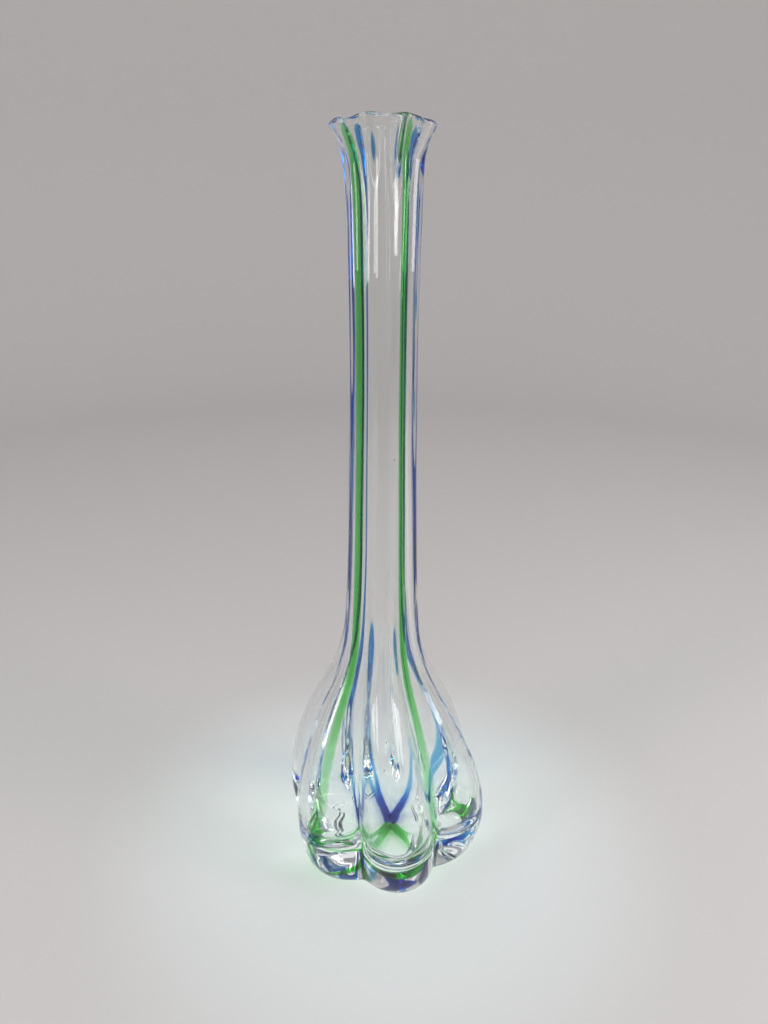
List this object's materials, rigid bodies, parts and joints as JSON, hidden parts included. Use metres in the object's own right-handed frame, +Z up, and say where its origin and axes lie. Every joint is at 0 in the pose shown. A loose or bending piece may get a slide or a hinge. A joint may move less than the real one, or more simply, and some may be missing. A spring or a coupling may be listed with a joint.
{
  "type": "hand blown art glass vase",
  "caption": "Tall clear glass vase with a lobed bulb body, a long slender neck, a flared wavy mouth and green and blue glass canes.",
  "frame": {"origin": "middle of the flat ground base, on the face that the vase stands on", "axes": "+Z up the neck, -Y the front of the vase, +X to the right of someone facing it"},
  "size_m": [0.1136, 0.1166, 0.4016],
  "materials": {
    "clear_glass": "fire polished clear glass",
    "green_glass": "transparent green cane under a clear skin",
    "blue_glass": "transparent cobalt blue cane under a clear skin"
  },
  "bodies": {
    "root": {"clear_vessel": "clear_glass", "green_cane_left": "green_glass", "green_cane_right": "green_glass", "blue_cane_left": "blue_glass", "blue_cane_right": "blue_glass"}
  },
  "joints": []
}
